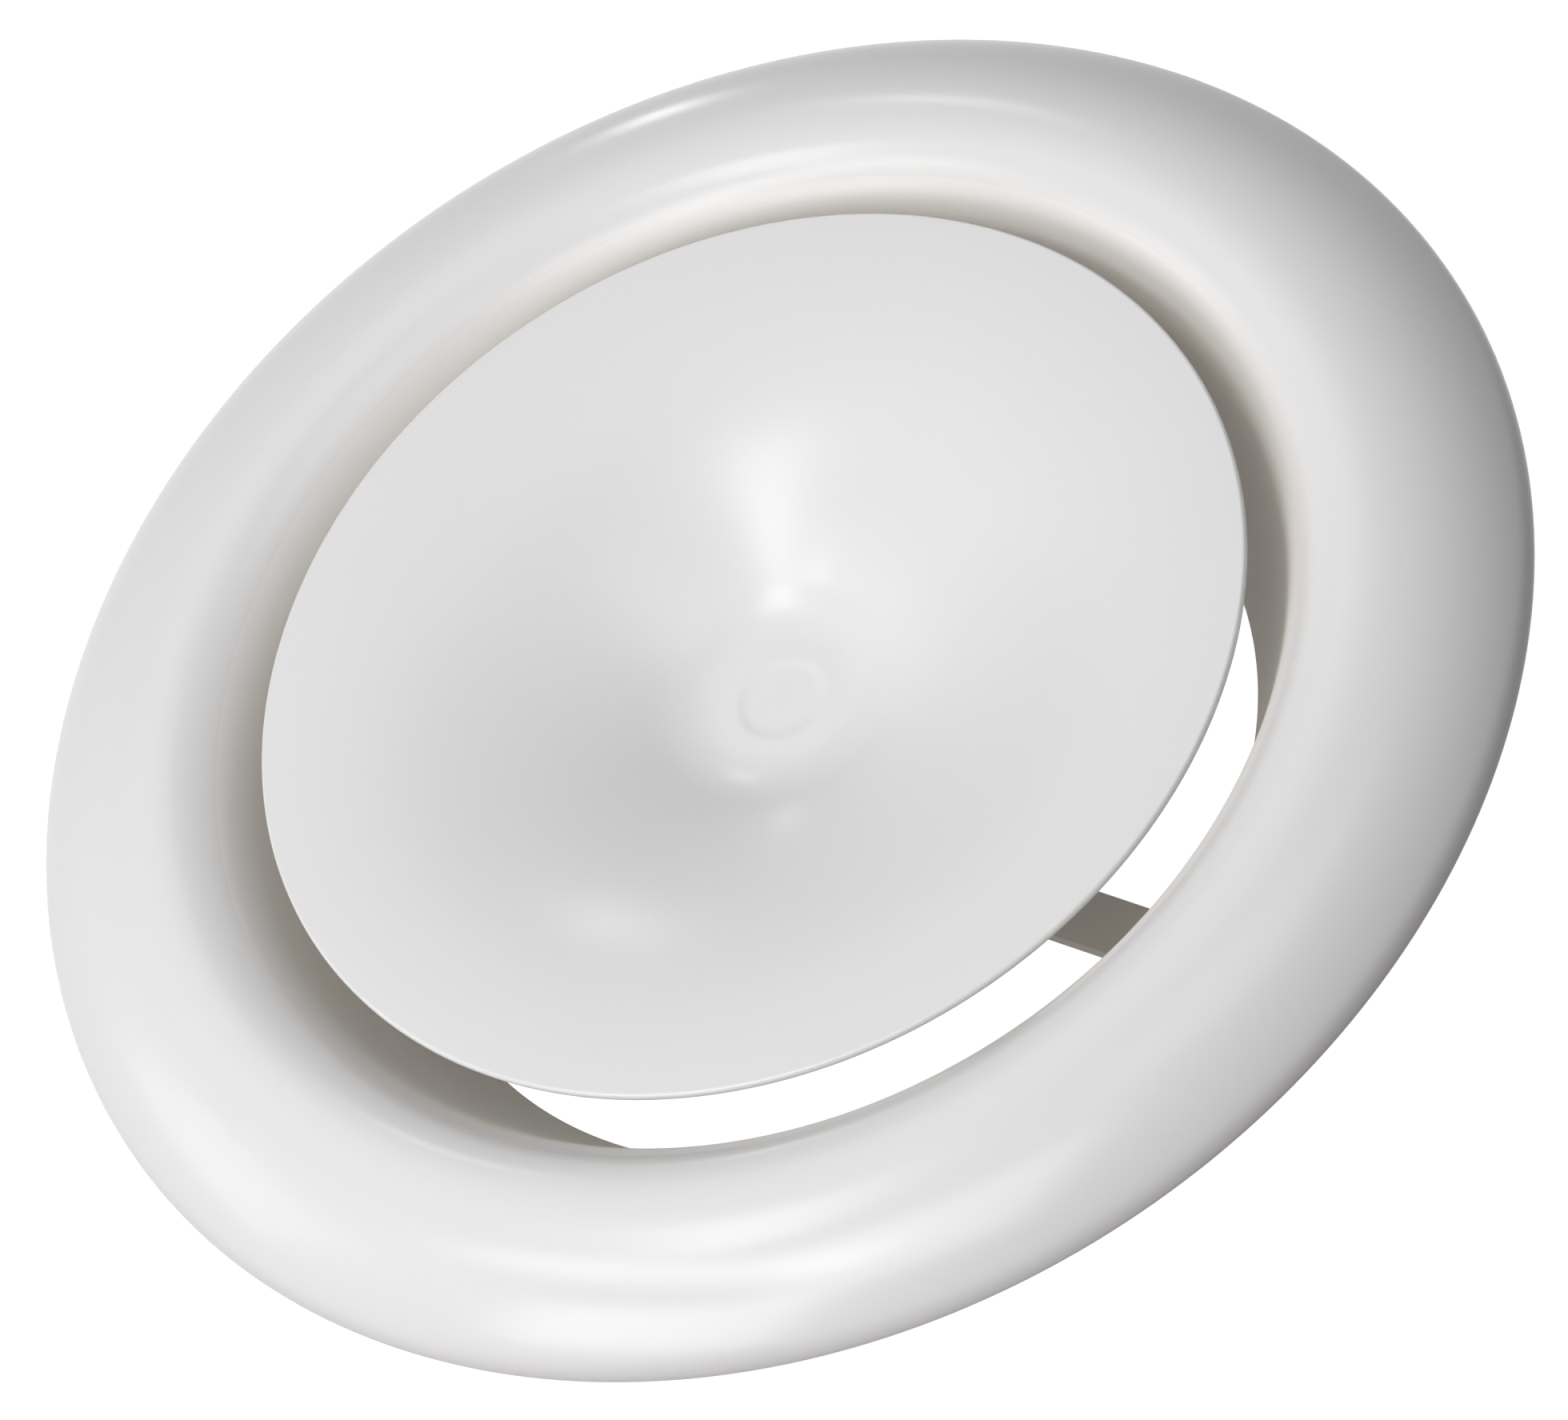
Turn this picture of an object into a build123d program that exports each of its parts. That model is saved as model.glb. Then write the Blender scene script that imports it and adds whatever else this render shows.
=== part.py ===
from build123d import *
import math
import os

# Supply air valve: a pressed ring with a funnel, and a dished disc on a screw behind which the air flows.
# The origin is on the valve's axis, in the plane of the wall or ceiling. +Z points into the room.
# +X runs along the bridge that carries the screw. All sizes are in millimetres and degrees.

# Valve ring, one pressed sheet. Radii of bends are those of the face that shows.
neck_radius = 47.0
neck_length = 5.0
neck_bend_radius = 2.0
cone_angle = 27.4
funnel_reach = 19.5
roll_radius = 10.2
crest_height = 10.05
flare_reach = 16.0
rim_edge_radius = 4.0
rim_skirt = 0.3
ring_sheet = 1.0

# Foam gasket glued into the hollow behind the flare
gasket_offset = 1.0
gasket_width = 7.0
glue_line = 0.1

# Valve disc, one pressed sheet, set at its height in use
disc_overlap = 7.5
disc_rise = 9.95
disc_sheet = 1.0
dish_lip = 1.0
dish_depth = 10.0
dish_flat_radius = 6.5
dish_blend_radius = 18.4

# Bridge, one bent strip with a round eye, spot welded to the inside of the neck
bridge_drop = 8.4
bridge_width = 6.4
bridge_sheet = 1.5
bridge_bend_radius = 4.0
bridge_end_radius = 1.5
eye_radius = 8.0
weld_line = 0.02

# Screw, bush, washer and nut, with an M6 thread that is left plain
thread_radius = 3.0
thread_clearance = 0.05
open_travel = 12.0
spindle_spare = 2.0
spindle_chamfer = 0.6
flange_margin = 0.5
flange_height = 1.6
flange_bevel = 0.4
bush_wall = 1.6
bush_collar_width = 2.0
bush_collar_height = 1.5
bush_lip_width = 0.8
bush_lip_height = 0.8
bush_seat = 0.01
washer_radius = 6.0
washer_clearance = 0.2
washer_height = 1.6
washer_bevel = 0.2
nut_flats = 10.0
nut_height = 5.0
nut_bevel_angle = 30.0
seat_gap = 0.05

# Levels and radii that follow from the sizes above
cone = math.radians(cone_angle)
crest_radius = neck_radius + funnel_reach
rim_radius = crest_radius + flare_reach
edge_span = flare_reach - rim_edge_radius
edge_rise = crest_height - rim_skirt
crown_radius = (edge_span**2 + edge_rise**2 - rim_edge_radius**2) / (2 * (edge_rise - rim_edge_radius))
crown_turn = math.degrees(math.atan2(edge_span, crown_radius - edge_rise))
cone_top = crest_height - roll_radius * (1 - math.sin(cone))
cone_drop = (funnel_reach - roll_radius * math.cos(cone)) / math.tan(cone)
neck_rear = cone_top - cone_drop - neck_length
bend_setback = neck_bend_radius * math.tan(cone / 2)
neck_top = neck_rear + neck_length - bend_setback

disc_radius = neck_radius + disc_overlap
dish_span = disc_radius - dish_lip - dish_flat_radius
dish_turn = math.degrees(2 * math.atan(dish_depth / dish_span))
dish_crown_radius = dish_span / math.sin(math.radians(dish_turn)) - dish_blend_radius
dish_back = disc_rise - dish_depth - disc_sheet

bar_front = neck_rear - bridge_drop
bar_rear = bar_front - bridge_sheet
leg_face = math.sqrt(neck_radius**2 - (bridge_width / 2) ** 2) - weld_line
bore_radius = thread_radius + thread_clearance
barrel_radius = bore_radius + bush_wall
lip_rear = bar_rear - bush_lip_height
washer_front = lip_rear - seat_gap
nut_front = washer_front - washer_height - seat_gap
nut_rear = nut_front - nut_height
flange_front = dish_back - seat_gap
flange_radius = dish_flat_radius - flange_margin
spindle_end = nut_rear - open_travel - spindle_spare

os.makedirs("parts", exist_ok=True)

# Valve ring: rim, crowned flare, inner roll, cone and neck as one line, given the sheet's thickness behind it
with BuildPart() as valve_ring:
    with BuildSketch(Plane.XZ):
        with BuildLine():
            skirt = Line((rim_radius, 0), (rim_radius, rim_skirt))
            edge = JernArc(skirt @ 1, (0, 1), rim_edge_radius, 90 - crown_turn)
            crown = JernArc(edge @ 1, edge % 1, crown_radius, crown_turn)
            roll = JernArc(crown @ 1, crown % 1, roll_radius, 90 - cone_angle)
            wall_length = cone_drop / math.cos(cone) - bend_setback
            wall = Line(roll @ 1, (roll @ 1) + (roll % 1) * wall_length)
            bend = JernArc(wall @ 1, wall % 1, neck_bend_radius, cone_angle)
            Line(bend @ 1, (neck_radius, neck_rear))
            offset(amount=ring_sheet, side=Side.LEFT)
        make_face()
    revolve(axis=Axis.Z)
valve_ring.part.label = "valve_ring"
export_step(valve_ring.part, "parts/valve_ring.step")

# Rim gasket: a foam ring between the wall and the back of the flare's crown
gasket_inner = crest_radius + gasket_offset
gasket_outer = gasket_inner + gasket_width
gasket_crown = crown_radius - ring_sheet - glue_line
crown_centre = crest_height - crown_radius
gasket_inner_top = crown_centre + math.sqrt(gasket_crown**2 - gasket_offset**2)
gasket_outer_top = crown_centre + math.sqrt(gasket_crown**2 - (gasket_offset + gasket_width) ** 2)
with BuildPart() as rim_gasket:
    with BuildSketch(Plane.XZ):
        with BuildLine():
            Polyline(
                (gasket_inner, gasket_inner_top),
                (gasket_inner, 0),
                (gasket_outer, 0),
                (gasket_outer, gasket_outer_top),
            )
            RadiusArc((gasket_outer, gasket_outer_top), (gasket_inner, gasket_inner_top), -gasket_crown)
        make_face()
    revolve(axis=Axis.Z)
rim_gasket.part.label = "rim_gasket"
export_step(rim_gasket.part, "parts/rim_gasket.step")

# Valve disc: flat at its lip, falling in one long arc and a smaller blend to the flat in the middle
with BuildPart() as valve_disc:
    with BuildSketch(Plane.XZ):
        with BuildLine():
            lip = Line((disc_radius, disc_rise), (disc_radius - dish_lip, disc_rise))
            fall = JernArc(lip @ 1, (-1, 0), dish_crown_radius, dish_turn)
            blend = JernArc(fall @ 1, fall % 1, dish_blend_radius, -dish_turn)
            Line(blend @ 1, (0, disc_rise - dish_depth))
            offset(amount=disc_sheet, side=Side.LEFT)
        make_face()
    revolve(axis=Axis.Z)
valve_disc.part.label = "valve_disc"
export_step(valve_disc.part, "parts/valve_disc.step")

# Bridge: the strip's outside line, given its thickness inwards, with the eye and its hole in the middle
with BuildPart() as bridge:
    with BuildSketch(Plane.XZ):
        with BuildLine():
            FilletPolyline(
                (-leg_face, neck_top),
                (-leg_face, bar_rear),
                (leg_face, bar_rear),
                (leg_face, neck_top),
                radius=bridge_bend_radius,
            )
            offset(amount=bridge_sheet, side=Side.LEFT)
        make_face()
    extrude(amount=bridge_width / 2, both=True)
    leg_corners = bridge.edges().filter_by(Axis.X).group_by(Axis.Z)[-1]
    fillet(leg_corners, bridge_end_radius)
    with BuildSketch(Plane.XY.offset(bar_rear)):
        Circle(eye_radius)
    extrude(amount=bridge_sheet)
    with BuildSketch(Plane.XY.offset(bar_rear)):
        Circle(barrel_radius + bush_seat)
    extrude(amount=bridge_sheet, mode=Mode.SUBTRACT)
bridge.part.label = "bridge"
export_step(bridge.part, "parts/bridge.step")

# Spindle bush: a collar in front of the eye, a barrel through it and a lip rolled over behind it
collar_radius = barrel_radius + bush_collar_width
lip_radius = barrel_radius + bush_lip_width
collar_front = bar_front + bush_collar_height
with BuildPart() as spindle_bush:
    with BuildSketch(Plane.XZ):
        with BuildLine():
            Polyline(
                (bore_radius, collar_front),
                (collar_radius, collar_front),
                (collar_radius, bar_front),
                (barrel_radius, bar_front),
                (barrel_radius, bar_rear),
                (lip_radius, bar_rear),
                (lip_radius, lip_rear),
                (bore_radius, lip_rear),
                close=True,
            )
        make_face()
    revolve(axis=Axis.Z)
spindle_bush.part.label = "spindle_bush"
export_step(spindle_bush.part, "parts/spindle_bush.step")

# Spindle: a flange under the disc's flat and a round shaft with a bevelled end
with BuildPart() as spindle:
    with BuildSketch(Plane.XY.offset(flange_front)):
        Circle(flange_radius)
    extrude(amount=-flange_height)
    flange_rim = spindle.edges().group_by(Axis.Z)[0]
    chamfer(flange_rim, flange_bevel)
    with BuildSketch(Plane.XY.offset(spindle_end)):
        Circle(thread_radius)
    extrude(amount=flange_front - flange_height - spindle_end)
    shaft_end = spindle.edges().group_by(Axis.Z)[0]
    chamfer(shaft_end, spindle_chamfer)
spindle.part.label = "spindle"
export_step(spindle.part, "parts/spindle.step")

# Lock washer
with BuildPart() as lock_washer:
    with BuildSketch(Plane.XY.offset(washer_front)):
        Circle(washer_radius)
        Circle(thread_radius + washer_clearance, mode=Mode.SUBTRACT)
    extrude(amount=-washer_height)
    washer_rims = lock_washer.faces().filter_by(GeomType.CYLINDER).sort_by(SortBy.RADIUS)[-1].edges()
    chamfer(washer_rims.filter_by(GeomType.CIRCLE), washer_bevel)
lock_washer.part.label = "lock_washer"
export_step(lock_washer.part, "parts/lock_washer.step")

# Lock nut: a hexagon whose corners are turned down to a cone at both ends
nut_corner = nut_flats / math.sqrt(3)
bevel_height = (nut_corner - nut_flats / 2) * math.tan(math.radians(nut_bevel_angle))
with BuildPart() as lock_nut:
    with BuildSketch(Plane.XY.offset(nut_rear)):
        RegularPolygon(nut_flats / 2, 6, major_radius=False)
        Circle(bore_radius, mode=Mode.SUBTRACT)
    extrude(amount=nut_height)
    with BuildSketch(Plane.XZ):
        with BuildLine():
            Polyline(
                (0, nut_front),
                (nut_flats / 2, nut_front),
                (nut_corner, nut_front - bevel_height),
                (nut_corner, nut_rear + bevel_height),
                (nut_flats / 2, nut_rear),
                (0, nut_rear),
                close=True,
            )
        make_face()
    revolve(axis=Axis.Z, mode=Mode.INTERSECT)
lock_nut.part.label = "lock_nut"
export_step(lock_nut.part, "parts/lock_nut.step")
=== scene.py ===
"""Supply air valve: a white powder coated ring and dished disc, on the screw that sets the air slot."""
import math

import bpy
import numpy as np
from mathutils import Matrix, Vector


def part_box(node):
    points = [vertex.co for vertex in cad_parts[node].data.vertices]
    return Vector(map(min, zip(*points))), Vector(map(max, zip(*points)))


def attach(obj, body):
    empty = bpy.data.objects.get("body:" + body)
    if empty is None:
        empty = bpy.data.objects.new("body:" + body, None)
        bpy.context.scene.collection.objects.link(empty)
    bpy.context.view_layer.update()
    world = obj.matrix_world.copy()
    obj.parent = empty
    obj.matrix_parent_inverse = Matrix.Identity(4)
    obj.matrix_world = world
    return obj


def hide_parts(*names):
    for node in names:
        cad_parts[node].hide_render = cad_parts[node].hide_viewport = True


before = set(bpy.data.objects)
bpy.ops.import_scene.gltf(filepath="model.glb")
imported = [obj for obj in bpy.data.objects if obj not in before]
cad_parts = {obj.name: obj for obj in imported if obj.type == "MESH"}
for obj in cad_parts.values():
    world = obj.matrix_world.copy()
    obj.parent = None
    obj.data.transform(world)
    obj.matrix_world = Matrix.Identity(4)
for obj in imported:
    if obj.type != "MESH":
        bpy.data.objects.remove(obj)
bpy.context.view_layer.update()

MM = 0.001

# Ring and disc in millimetres and degrees, as in the valve's drawing, measured on the side that shows
NECK_RADIUS, NECK_LENGTH, NECK_BEND = 47.0, 5.0, 2.0
CONE_ANGLE, FUNNEL_REACH, ROLL_RADIUS = 27.4, 19.5, 10.2
CREST_HEIGHT, FLARE_REACH, RIM_EDGE, RIM_SKIRT = 10.05, 16.0, 4.0, 0.3
DISC_OVERLAP, DISC_RISE, DISH_LIP, DISH_DEPTH = 7.5, 9.95, 1.0, 10.0
DISH_FLAT, DISH_BLEND = 6.5, 18.4
DIMPLE_RADIUS, DIMPLE_EDGE, DIMPLE_SLOPE = 4.5, 1.0, 8.0
SHEET, EDGE_CAP = 1.0, 0.3

# Spindle in millimetres. The thread's crest and flank are shares of half its pitch.
FLANGE_RADIUS, FLANGE_HEIGHT, FLANGE_FILLET = 6.0, 1.6, 0.4
SPINDLE_BEVEL, THREAD_START = 0.6, 6.0
THREAD_RADIUS, THREAD_PITCH, THREAD_DEPTH = 3.0, 1.0, 0.55
THREAD_CREST, THREAD_FLANK = 0.12, 0.70

# Radii and heights, in millimetres, where the funnel's coat starts to grow thinner and its painted shade
# begins, and where the coat is thinnest and the painted shade darkest
THIN_COAT_AND_SHADE_RADII, THIN_COAT_AND_SHADE_HEIGHTS = (66.0, 57.5), (10.0, 3.5)

# How finely the surfaces are divided: the longest step along a line and the small fan left round the disc's
# axis, in millimetres, and then counts of steps and points, with the thread's rows for each pitch
LINE_STEP, AXIS_GAP = 0.7, 0.4
FEWEST_STEPS, ROUND_STEPS, SPINDLE_STEPS, THREAD_ROWS = 6, 288, 64, 14
EDGE_POINTS, FILLET_POINTS = 9, 7


def drawn_line(start, heading, runs):
    """A line of straight runs and arcs, each given by its length and the angle that it turns left.

    The heading grows evenly along a run. Each short step's chord points along the mean of its two headings
    and is shortened by the sine of half its turn over half its turn. The points are the running sum of the
    chords. Returns the points and the headings in radians.
    """
    counts = [max(FEWEST_STEPS, math.ceil(length / LINE_STEP)) for length, _ in runs]
    lengths = np.concatenate([np.full(n, length / n) for (length, _), n in zip(runs, counts)])
    turns = np.radians(np.concatenate([np.full(n, turn / n) for (_, turn), n in zip(runs, counts)]))
    after = math.radians(heading) + np.cumsum(turns)
    mean = after - turns / 2
    chord = lengths * np.sinc(turns / (2 * math.pi))
    steps = chord[:, None] * np.stack([np.cos(mean), np.sin(mean)], axis=1)
    points = np.array(start) + np.vstack([np.zeros(2), np.cumsum(steps, axis=0)])
    return points, np.concatenate([[math.radians(heading)], after])


def sheet_edge(middle, heading):
    """A sheet's rounded end: half an ellipse round the end of its middle line, from right to left."""
    angle = np.linspace(0, math.pi, EDGE_POINTS)[1:-1, None]
    along = np.array([math.cos(heading), math.sin(heading)])
    right = np.array([along[1], -along[0]])
    return middle + SHEET / 2 * np.cos(angle) * right + EDGE_CAP * np.sin(angle) * along


def pressed(points, heading, marked_front=None):
    """The outline of a pressed sheet: its front line, two rounded edges, and the line one sheet to the left.

    The middle line lies half a sheet to the left of the front, along the normal. A sheet that ends at the
    axis gives its front line by itself, with the marks on it, and has one rounded edge only.
    """
    left = np.stack([-np.sin(heading), np.cos(heading)], axis=1)
    back, middle = points + SHEET * left, points + SHEET / 2 * left
    start = sheet_edge(middle[0], heading[0] + math.pi)
    if marked_front is not None:
        return np.vstack([marked_front[::-1], start[::-1], back])
    end = sheet_edge(middle[-1], heading[-1])
    return np.vstack([points, end, back[::-1], start])


def turned(profile, steps=ROUND_STEPS):
    """A surface of revolution: each profile point, at radius r and height z, carried evenly round Z."""
    angle = np.linspace(0, 2 * math.pi, steps, endpoint=False)
    r, z = profile[:, :1], np.broadcast_to(profile[:, 1:], (len(profile), steps))
    return np.stack([r * np.cos(angle), r * np.sin(angle), z], axis=-1)


def skin(name, grid, loop=False):
    """A closed mesh over a grid of points in millimetres, rows by columns, whose columns run once round.

    The last column joins the first. With loop the last row joins the first too, and otherwise a fan to its
    middle closes the first row and the last. The faces are turned round if the volume comes out negative.
    """
    rows, columns = grid.shape[:2]
    number = np.arange(rows * columns).reshape(rows, columns)
    below = np.vstack([number, number[:1]]) if loop else number
    beside = np.roll(below, -1, axis=1)
    quads = np.stack([below[:-1], beside[:-1], beside[1:], below[1:]], axis=-1).reshape(-1, 4)
    points = grid.reshape(-1, 3)
    fans = np.empty((0, 3), int)
    if not loop:
        points = np.vstack([points, grid[0].mean(axis=0), grid[-1].mean(axis=0)])
        first, last = np.full(columns, rows * columns), np.full(columns, rows * columns + 1)
        top_fan = np.stack([beside[0], below[0], first], axis=1)
        end_fan = np.stack([below[-1], beside[-1], last], axis=1)
        fans = np.vstack([top_fan, end_fan])
    corners = np.vstack([quads[:, [0, 1, 2]], quads[:, [0, 2, 3]], fans])
    a, b, c = (points[corners[:, k]] for k in range(3))
    if np.einsum("ij,ij->i", a, np.cross(b, c)).sum() < 0:
        quads, fans = quads[:, ::-1], fans[:, ::-1]
    mesh = bpy.data.meshes.new(name)
    mesh.from_pydata(points * MM, [], quads.tolist() + fans.tolist())
    mesh.polygons.foreach_set("use_smooth", np.ones(len(mesh.polygons), bool))
    mesh.update()
    piece = bpy.data.objects.new(name, mesh)
    bpy.context.collection.objects.link(piece)
    return piece


# Ring: rim edge, crown, inner roll, cone, bend and neck in one line from the rim's skirt
cone = math.radians(CONE_ANGLE)
crest_radius = NECK_RADIUS + FUNNEL_REACH
rim_radius = crest_radius + FLARE_REACH
edge_span, edge_rise = FLARE_REACH - RIM_EDGE, CREST_HEIGHT - RIM_SKIRT
crown_radius = (edge_span**2 + edge_rise**2 - RIM_EDGE**2) / (2 * (edge_rise - RIM_EDGE))
crown_turn = math.degrees(math.atan2(edge_span, crown_radius - edge_rise))
cone_drop = (FUNNEL_REACH - ROLL_RADIUS * math.cos(cone)) / math.tan(cone)
setback = NECK_BEND * math.tan(cone / 2)
ring_runs = [
    (math.radians(90 - crown_turn) * RIM_EDGE, 90 - crown_turn),
    (math.radians(crown_turn) * crown_radius, crown_turn),
    (math.radians(90 - CONE_ANGLE) * ROLL_RADIUS, 90 - CONE_ANGLE),
    (cone_drop / math.cos(cone) - setback, 0),
    (cone * NECK_BEND, CONE_ANGLE),
    (NECK_LENGTH - setback - EDGE_CAP, 0),
]
ring_line = drawn_line((rim_radius, RIM_SKIRT), 90, ring_runs)
ring = skin("ring_sheet", turned(pressed(*ring_line)), loop=True)
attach(ring, "valve_frame")
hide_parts("valve_ring")

# Disc: lip, long fall, blend and half of the flat, in one line from the lip to close by the axis. On the
# front the flat has a shallow dimple, the mark of the weld that holds the spindle behind it.
disc_radius = NECK_RADIUS + DISC_OVERLAP
dish_span = disc_radius - DISH_LIP - DISH_FLAT
dish_turn = 2 * math.atan(DISH_DEPTH / dish_span)
dish_crown = dish_span / math.sin(dish_turn) - DISH_BLEND
dish_runs = [
    (DISH_LIP - EDGE_CAP, 0),
    (dish_turn * dish_crown, math.degrees(dish_turn)),
    (dish_turn * DISH_BLEND, -math.degrees(dish_turn)),
]
flat_runs = [(DISH_FLAT - AXIS_GAP, 0)]
dimple_runs = [
    (DISH_FLAT - DIMPLE_RADIUS - DIMPLE_EDGE, 0),
    (DIMPLE_EDGE, DIMPLE_SLOPE),
    (DIMPLE_EDGE, -DIMPLE_SLOPE),
    (DIMPLE_RADIUS - DIMPLE_EDGE - AXIS_GAP, 0),
]
disc_start = (disc_radius - EDGE_CAP, DISC_RISE)
disc_front, _ = drawn_line(disc_start, 180, dish_runs + dimple_runs)
disc_line = drawn_line(disc_start, 180, dish_runs + flat_runs)
disc = skin("disc_sheet", turned(pressed(*disc_line, disc_front)))
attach(disc, "valve_disc")
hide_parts("valve_disc")


def threaded_spindle():
    """The spindle as a grid of height by angle: flange, plain neck and screw thread, closed at both ends.

    The profile's radius is that of flange or shaft. Below the plain neck it is cut by a helix: the depth
    times a flattened saw-tooth of height over pitch minus angle over one turn, faded in over one pitch at
    either end.
    """
    low, high = (np.array(c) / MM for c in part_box("spindle"))
    top, foot = high[2], low[2]
    flange_under = top - FLANGE_HEIGHT
    angle = np.linspace(0, math.pi / 2, FILLET_POINTS)
    inset, drop = FLANGE_FILLET * (1 - np.sin(angle)), FLANGE_FILLET * (1 - np.cos(angle))
    upper_edge = np.stack([FLANGE_RADIUS - inset, top - drop], axis=1)
    lower_edge = np.stack([FLANGE_RADIUS - drop, flange_under + inset], axis=1)
    root = np.array([
        [THREAD_RADIUS + FLANGE_FILLET, flange_under],
        [THREAD_RADIUS + FLANGE_FILLET / 4, flange_under - FLANGE_FILLET / 3],
    ])
    shaft_top, shaft_foot = flange_under - FLANGE_FILLET, foot + SPINDLE_BEVEL
    rows = math.ceil((shaft_top - shaft_foot) / (THREAD_PITCH / THREAD_ROWS))
    shaft = np.stack([np.full(rows, THREAD_RADIUS), np.linspace(shaft_top, shaft_foot, rows)], axis=1)
    bevel = np.array([
        [THREAD_RADIUS - SPINDLE_BEVEL / 2, foot + SPINDLE_BEVEL / 2],
        [THREAD_RADIUS - SPINDLE_BEVEL, foot],
        [(THREAD_RADIUS - SPINDLE_BEVEL) / 2, foot],
    ])
    profile = np.vstack([[[FLANGE_RADIUS / 2, top]], upper_edge, lower_edge, root, shaft, bevel])
    z = profile[:, 1:]
    turn = np.linspace(0, 1, SPINDLE_STEPS, endpoint=False)
    wave = np.abs(((z / THREAD_PITCH - turn) % 1) - 0.5) * 2
    tooth = np.clip((wave - THREAD_CREST) / THREAD_FLANK, 0, 1)
    fade_top = np.clip((top - THREAD_START - z) / THREAD_PITCH, 0, 1)
    fade_foot = np.clip((z - foot) / THREAD_PITCH, 0, 1)
    radius = profile[:, :1] - THREAD_DEPTH * tooth * (fade_top * fade_foot)
    grid = turned(profile, SPINDLE_STEPS)
    grid[..., :2] *= (radius / profile[:, :1])[..., None]
    return skin("spindle_screw", grid)


spindle = threaded_spindle()
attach(spindle, "spindle")
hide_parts("spindle")


def linear(colour):
    """An sRGB hex colour as linear RGBA: each channel from 0 to 1, with the sRGB curve undone."""
    c = np.array([int(colour[i:i + 2], 16) for i in (1, 3, 5)]) / 255
    return (*np.where(c <= 0.04045, c / 12.92, ((c + 0.055) / 1.055) ** 2.4), 1.0)


def per_metre(size_mm):
    """A texture's scale for a pattern whose features are that many millimetres apart."""
    return 1 / (size_mm * MM)


def add(tree, kind, values=None, links=None, **settings):
    """Adds a node, sets its properties and its inputs' values, and links other outputs to its inputs."""
    node = tree.nodes.new(kind)
    for name, value in settings.items():
        setattr(node, name, value)
    for socket, value in (values or {}).items():
        node.inputs[socket].default_value = value
    for socket, source in (links or {}).items():
        tree.links.new(source, node.inputs[socket])
    return node


def material(name):
    """A new node material, with its tree, its shader and the object's own coordinates."""
    made = bpy.data.materials.new(name)
    made.use_nodes = True
    tree = made.node_tree
    where = add(tree, "ShaderNodeTexCoord").outputs["Object"]
    return made, tree, tree.nodes["Principled BSDF"], where


def feed(tree, shader, sources):
    """Links each source to the shader's input of that name."""
    for socket, source in sources.items():
        tree.links.new(source, shader.inputs[socket])


def radius_and_height(tree, where):
    """Adds nodes that give a point's distance from the valve's axis and its height, in metres."""
    apart = add(tree, "ShaderNodeSeparateXYZ", {}, {0: where})
    flat = add(tree, "ShaderNodeCombineXYZ", {}, {0: apart.outputs[0], 1: apart.outputs[1]})
    reach = add(tree, "ShaderNodeVectorMath", {}, {0: flat.outputs[0]}, operation="LENGTH")
    return reach.outputs["Value"], apart.outputs[2]


def funnel_share(tree, where):
    """Adds nodes that give 0 on the flare and 1 deep in the funnel: a share by radius times one by height."""
    shares = []
    for place, (start, end) in zip(radius_and_height(tree, where), (THIN_COAT_AND_SHADE_RADII, THIN_COAT_AND_SHADE_HEIGHTS)):
        ends = {"From Min": start * MM, "From Max": end * MM}
        ramp = add(tree, "ShaderNodeMapRange", ends, {"Value": place}, interpolation_type="SMOOTHSTEP")
        shares.append(ramp.outputs[0])
    both = add(tree, "ShaderNodeMath", {}, dict(enumerate(shares)), operation="MULTIPLY")
    return both.outputs[0]


def powder_coat(name, shelter=None):
    """White powder coat, semi-gloss, with a shallow orange peel. Shelter is a function that adds nodes for a
    share from 0, on faces open to the spray, to 1, deep in a hollow, where the coat is thinner and dull, and
    where its colour is painted a warmer, darker white as shade.
    """
    made, tree, shader, where = material(name)
    cloud = add(tree, "ShaderNodeTexNoise", {"Scale": per_metre(35.0), "Detail": 2.0}, {"Vector": where})
    whites = {6: linear("#F1F0F0"), 7: linear("#EEEDED")}
    colour = add(tree, "ShaderNodeMix", whites, {0: cloud.outputs[0]}, data_type="RGBA").outputs[2]
    gloss = {"To Min": 0.19, "To Max": 0.24}
    rough = add(tree, "ShaderNodeMapRange", gloss, {"Value": cloud.outputs[0]}).outputs[0]
    grain = {"Scale": per_metre(2.2), "Detail": 1.0, "Roughness": 0.4}
    peel = add(tree, "ShaderNodeTexNoise", grain, {"Vector": where})
    bump = add(tree, "ShaderNodeBump", {"Strength": 0.12, "Distance": 0.03 * MM}, {"Height": peel.outputs[0]})
    if shelter:
        share = shelter(tree, where)
        # Painted shade: deep in the funnel the white is mixed towards a warmer, darker grey, as shade falls
        # there
        thin_coat_and_painted_shade = {7: linear("#ECE8E0")}
        colour = add(tree, "ShaderNodeMix", thin_coat_and_painted_shade, {0: share, 6: colour}, data_type="RGBA").outputs[2]
        rough = add(tree, "ShaderNodeMix", {3: 0.6}, {0: share, 2: rough}).outputs[0]
    feed(tree, shader, {"Base Color": colour, "Roughness": rough, "Normal": bump.outputs[0]})
    return made


# Polyester powder, sprayed on and baked. It gathers on open faces, and stays thinner and dull inside the
# funnel, where its colour is also painted warmer and darker as shade.
disc_coat = powder_coat("powder_coat_white")
ring_coat = powder_coat("powder_coat_white_thin_with_painted_shade_in_funnel", funnel_share)

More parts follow.
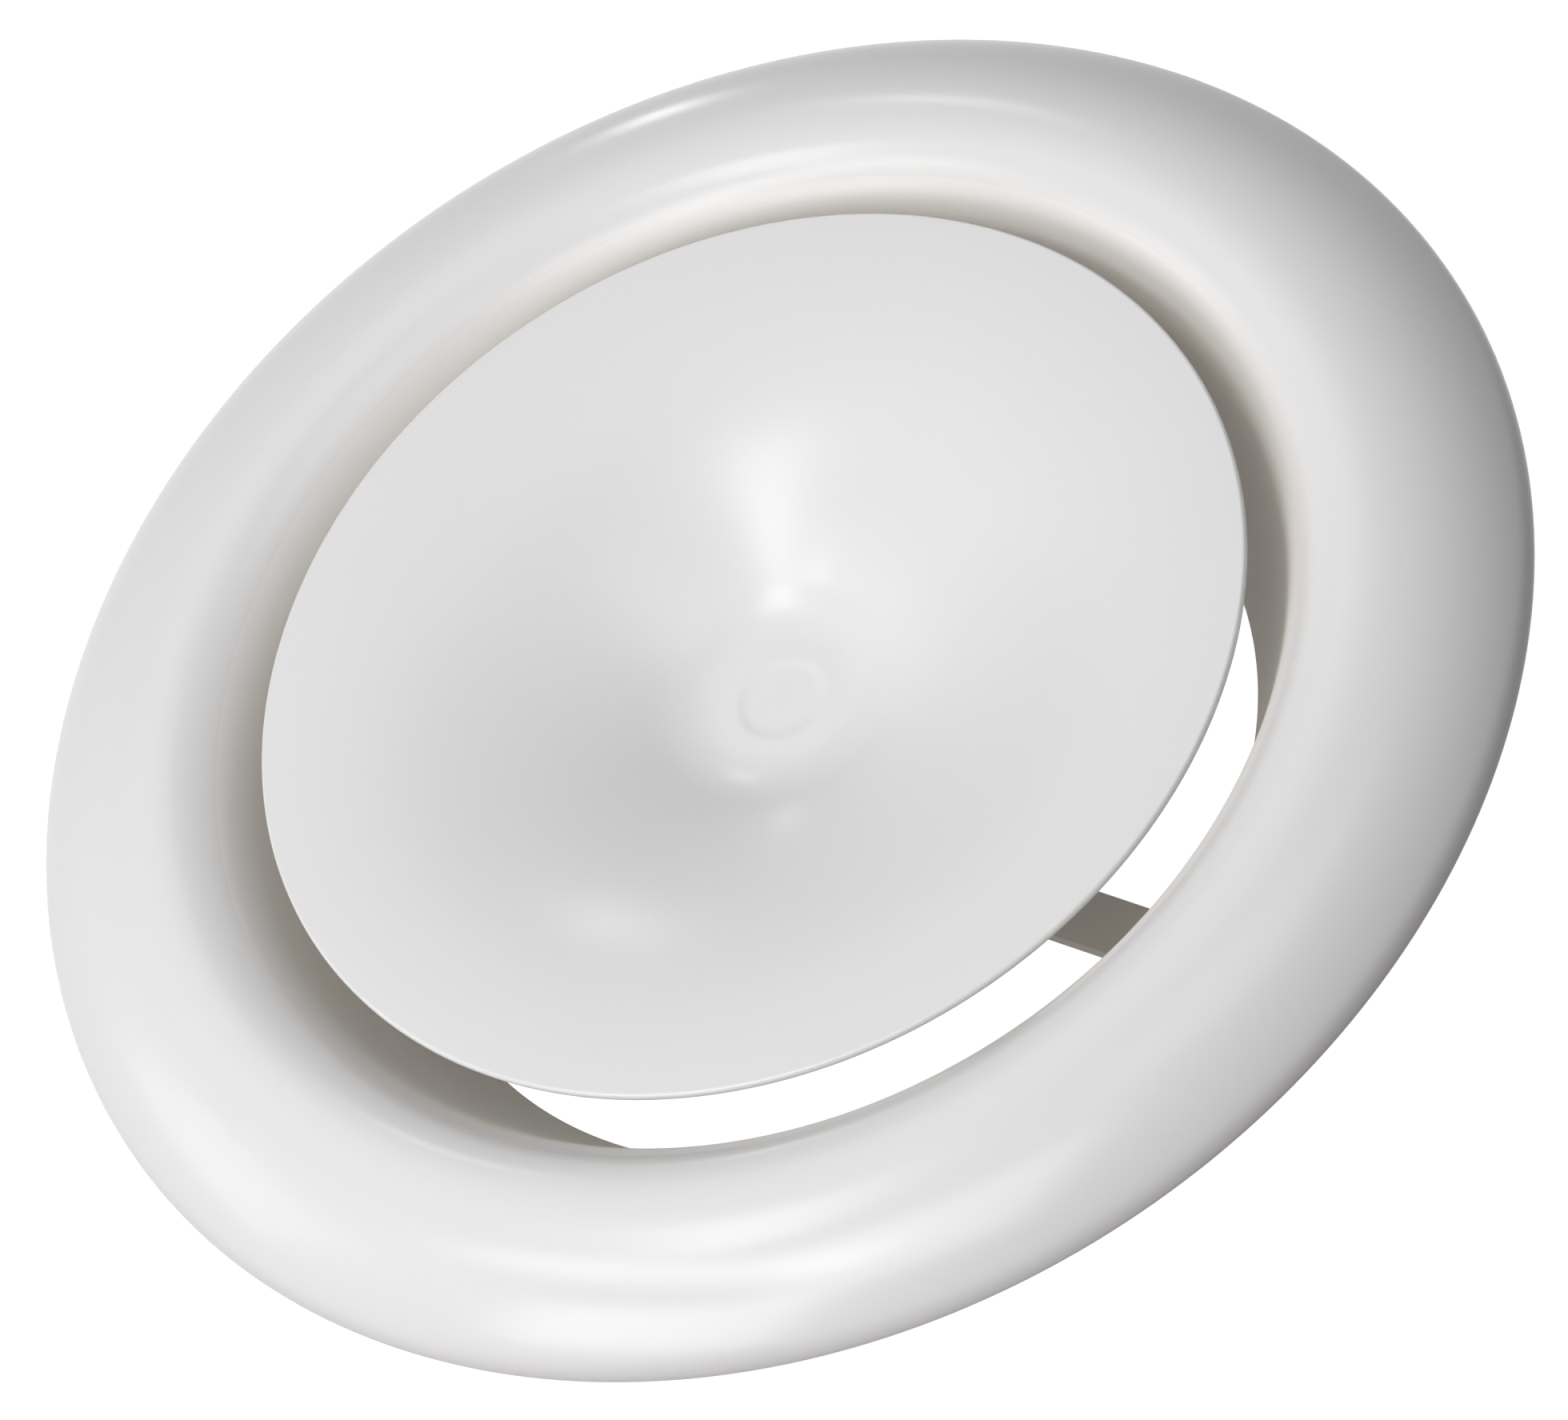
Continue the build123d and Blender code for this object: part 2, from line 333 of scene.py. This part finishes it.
# Turned steel, zinc plated: rings left by the tool round the axis, seen as a fine shimmer
turned_steel, tree, shader, where = material("turned_zinc_steel")
reach, height = radius_and_height(tree, where)
spot = add(tree, "ShaderNodeCombineXYZ", {}, {0: reach, 1: height})
ring_marks = {"Scale": per_metre(0.25), "Detail": 2.0}
rings = add(tree, "ShaderNodeTexNoise", ring_marks, {"Vector": spot.outputs[0]})
greys = {6: linear("#BDBAB2"), 7: linear("#A19E95")}
tone = add(tree, "ShaderNodeMix", greys, {0: rings.outputs[0]}, data_type="RGBA")
gloss = add(tree, "ShaderNodeMapRange", {"To Min": 0.24, "To Max": 0.40}, {"Value": rings.outputs[0]})
bump = add(tree, "ShaderNodeBump", {"Strength": 0.3, "Distance": 0.02 * MM}, {"Height": rings.outputs[0]})
feed(tree, shader, {"Base Color": tone.outputs[2], "Roughness": gloss.outputs[0], "Normal": bump.outputs[0]})
shader.inputs["Metallic"].default_value = 1.0

# Bright zinc plate on rolled and stamped fasteners: silvery with a bluish cast that comes and goes
bright_zinc, tree, shader, where = material("bright_zinc_plate")
cast = add(tree, "ShaderNodeTexNoise", {"Scale": per_metre(5.0), "Detail": 3.0}, {"Vector": where})
grit = add(tree, "ShaderNodeTexNoise", {"Scale": per_metre(0.3), "Detail": 2.0}, {"Vector": where})
silvers = {6: linear("#C6C7C6"), 7: linear("#AEB1B4")}
tone = add(tree, "ShaderNodeMix", silvers, {0: cast.outputs[0]}, data_type="RGBA")
gloss = add(tree, "ShaderNodeMapRange", {"To Min": 0.22, "To Max": 0.36}, {"Value": grit.outputs[0]})
bump = add(tree, "ShaderNodeBump", {"Strength": 0.2, "Distance": 0.02 * MM}, {"Height": grit.outputs[0]})
feed(tree, shader, {"Base Color": tone.outputs[2], "Roughness": gloss.outputs[0], "Normal": bump.outputs[0]})
shader.inputs["Metallic"].default_value = 1.0

# Closed-cell foam rubber, cut from sheet: nearly black, matt, pitted with cells under a millimetre wide, with
# painted shade darkening each pit
cell_foam, tree, shader, where = material("closed_cell_foam")
cells = add(tree, "ShaderNodeTexVoronoi", {"Scale": per_metre(0.7)}, {"Vector": where}).outputs["Distance"]
# Painted shade: the colour darkens with the pits' depth
blacks = {6: linear("#26272A"), 7: linear("#46474B")}
tone = add(tree, "ShaderNodeMix", blacks, {0: cells}, data_type="RGBA")
bump = add(tree, "ShaderNodeBump", {"Strength": 0.6, "Distance": 0.2 * MM}, {"Height": cells})
feed(tree, shader, {"Base Color": tone.outputs[2], "Normal": bump.outputs[0]})
shader.inputs["Roughness"].default_value = 0.85

for piece, coat in ((ring, ring_coat), (disc, disc_coat), (spindle, bright_zinc)):
    piece.data.materials.append(coat)
node_coats = {
    "valve_ring": ring_coat,
    "valve_disc": disc_coat,
    "rim_gasket": cell_foam,
    "bridge": ring_coat,
    "spindle_bush": turned_steel,
    "spindle": bright_zinc,
    "lock_washer": bright_zinc,
    "lock_nut": bright_zinc,
}
for name, coat in node_coats.items():
    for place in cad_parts[name].material_slots:
        place.material = coat

# Camera: seen from 50 degrees above the wall's plane, turned about its own line of sight, from far off.
# Distance in metres, focal length and image width in pixels, aim in millimetres to the right and up.
TILT, ROLL, HEADING = math.radians(39.931), math.radians(-32.979), math.radians(-31.5)
DISTANCE, FOCAL_PX, IMAGE_WIDTH = 1.5566, 18684.0, 1960
AIM_RIGHT, AIM_UP = 0.247, -1.21
ahead = Vector((math.cos(HEADING), math.sin(HEADING), 0))
side = Vector((-math.sin(HEADING), math.cos(HEADING), 0))
toward = math.sin(TILT) * ahead + Vector((0, 0, math.cos(TILT)))
level_up = -math.cos(TILT) * ahead + Vector((0, 0, math.sin(TILT)))
right = math.cos(ROLL) * side + math.sin(ROLL) * level_up
up = -math.sin(ROLL) * side + math.cos(ROLL) * level_up
lens = bpy.data.cameras.new("camera")
lens.sensor_width = 36.0
lens.lens = lens.sensor_width * FOCAL_PX / IMAGE_WIDTH
camera = bpy.data.objects.new("camera", lens)
camera.matrix_world = Matrix((right, up, toward)).transposed().to_4x4()
camera.matrix_world.translation = AIM_RIGHT * MM * right + AIM_UP * MM * up + DISTANCE * toward
bpy.context.collection.objects.link(camera)
bpy.context.scene.camera = camera


def lamp(name, azimuth, elevation, distance, size, power):
    """A rectangular soft lamp at that bearing from the valve, facing it. Angles are in degrees, the distance
    and the size, width by height, in metres, and the power in watts.
    """
    light = bpy.data.lights.new(name, "AREA")
    light.shape = "RECTANGLE"
    light.size, light.size_y = size
    light.energy = power
    made = bpy.data.objects.new(name, light)
    a, e = math.radians(azimuth), math.radians(elevation)
    from_valve = Vector((math.cos(a) * math.cos(e), math.sin(a) * math.cos(e), math.sin(e)))
    made.rotation_euler = from_valve.to_track_quat("Z", "Y").to_euler()
    made.location = distance * from_valve
    bpy.context.collection.objects.link(made)


# Lamps: the first two and the rear spot and strip give the highlights, and the others the even level
lamp("key_softbox", -105, 61, 1.3, (0.95, 0.22), 2.7)
lamp("high_box", -150, 73, 1.3, (0.42, 0.22), 1.65)
lamp("side_box", -92, 33, 1.4, (0.8, 0.6), 6.3)
lamp("front_fill", -60, 58, 1.4, (0.7, 0.7), 4.8)
lamp("left_fill", -150, 25, 1.4, (0.6, 0.6), 1.5)
lamp("right_fill", 40, 74, 1.4, (0.6, 0.6), 1.3)
lamp("rear_fill", 160, 55, 1.4, (0.8, 0.8), 1.7)
lamp("rear_spot", 135, 35, 1.3, (0.08, 0.08), 0.24)
lamp("rear_strip", 141, 4, 1.3, (0.04, 0.22), 0.3)


def seen_share(tree):
    """Adds nodes that give 1 to the eye, in reflections and through glass, and 0 where a ray only lights."""
    ray = add(tree, "ShaderNodeLightPath")
    share = ray.outputs["Is Camera Ray"]
    for kind in ("Is Glossy Ray", "Is Transmission Ray"):
        either = add(tree, "ShaderNodeMath", {}, {0: share, 1: ray.outputs[kind]}, operation="MAXIMUM")
        share = either.outputs[0]
    return share


# World: white where it is seen, and a plain even level as light
AMBIENT = 0.05
world = bpy.data.worlds.new("studio")
world.use_nodes = True
bpy.context.scene.world = world
tree = world.node_tree
tree.nodes.clear()
level = add(tree, "ShaderNodeMapRange", {"To Min": AMBIENT, "To Max": 1.0}, {"Value": seen_share(tree)})
sky = add(tree, "ShaderNodeBackground", {"Color": linear("#FFFFFF")}, {"Strength": level.outputs[0]})
add(tree, "ShaderNodeOutputWorld", {}, {"Surface": sky.outputs[0]})

# Floor: pale and matt, lifted to white where it is seen, so that only the valve's shadow shows on it
FLOOR_Z, FLOOR_HALF, FLOOR_LIFT = -0.25, 6.0, 0.92
floor_mesh = bpy.data.meshes.new("floor")
corners = [(x * FLOOR_HALF, y * FLOOR_HALF, FLOOR_Z) for x, y in ((-1, -1), (1, -1), (1, 1), (-1, 1))]
floor_mesh.from_pydata(corners, [], [(0, 1, 2, 3)])
floor = bpy.data.objects.new("floor", floor_mesh)
bpy.context.collection.objects.link(floor)
pale_floor, tree, shader, _ = material("pale_floor")
lift = add(tree, "ShaderNodeMath", {1: FLOOR_LIFT}, {0: seen_share(tree)}, operation="MULTIPLY")
feed(tree, shader, {"Emission Strength": lift.outputs[0]})
shader.inputs["Emission Color"].default_value = linear("#FFFFFF")
shader.inputs["Base Color"].default_value = linear("#7C7771")
shader.inputs["Roughness"].default_value = 0.9
floor_mesh.materials.append(pale_floor)

bpy.context.scene.view_settings.view_transform = "Standard"
